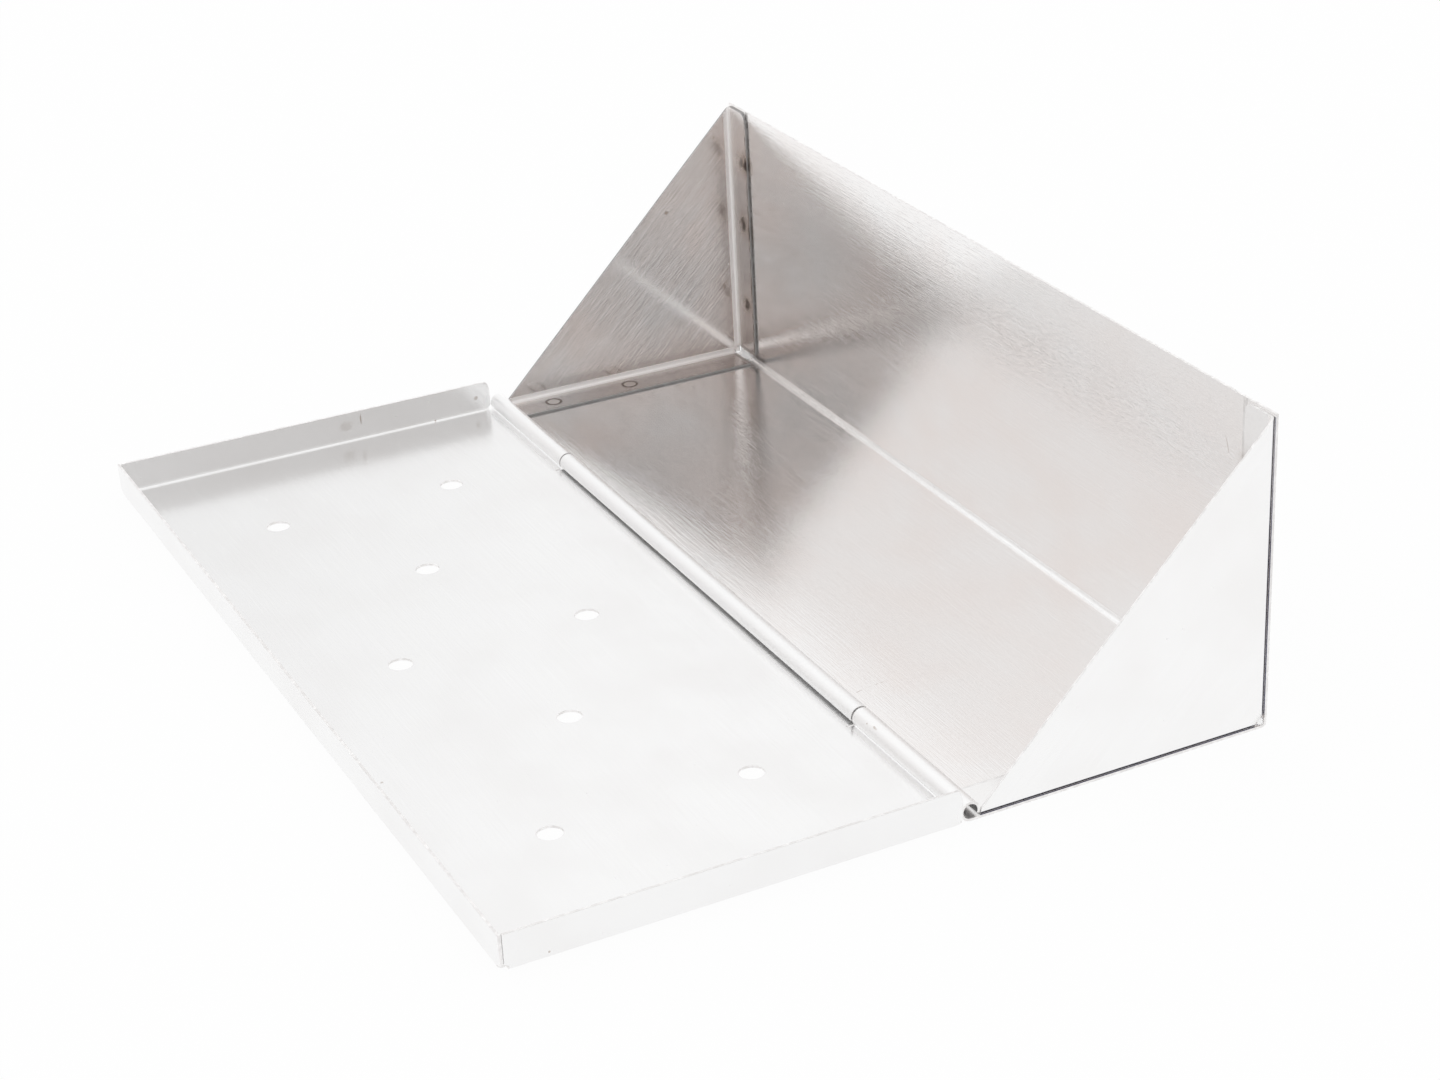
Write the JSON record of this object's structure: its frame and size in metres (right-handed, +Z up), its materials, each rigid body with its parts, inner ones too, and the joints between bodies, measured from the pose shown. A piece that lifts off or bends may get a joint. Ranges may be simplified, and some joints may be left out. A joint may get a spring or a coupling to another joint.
{
  "type": "smoker box",
  "caption": "Folded stainless-steel V-shaped wood-chip smoker box with triangular ends and a flanged, vented lid on a full-length rolled wire hinge.",
  "frame": {"origin": "centre of the bounding box's base, on the surface that the box and its open lid lie on", "axes": "+X along the hinge and the length of the box, +Y from the lid across the hinge to the back, +Z up"},
  "size_m": [0.3322, 0.2352, 0.097],
  "materials": {
    "box_sheet": "brushed along the length",
    "end_sheet": "brushed",
    "lid_sheet": "brushed along the length",
    "pin_wire": "drawn wire",
    "weld_nugget": "heat-tinted spot weld"
  },
  "bodies": {
    "box": {"trough": "box_sheet", "left_end_plate": "end_sheet", "right_end_plate": "end_sheet", "hinge_pin": "pin_wire", "left_floor_weld_front": "weld_nugget", "left_floor_weld_rear": "weld_nugget", "left_back_weld_low": "weld_nugget", "left_back_weld_mid": "weld_nugget", "left_back_weld_top": "weld_nugget", "right_floor_weld_front": "weld_nugget", "right_floor_weld_rear": "weld_nugget", "right_back_weld_low": "weld_nugget", "right_back_weld_mid": "weld_nugget", "right_back_weld_top": "weld_nugget"},
    "lid": {"lid": "lid_sheet"}
  },
  "joints": [
    {"name": "lid_hinge", "type": "hinge", "parent": "box", "child": "lid", "pos_m": [0, 0.01965, 0.003], "axis": [-1, 0, 0], "range_deg": [0, 136.7]}
  ]
}
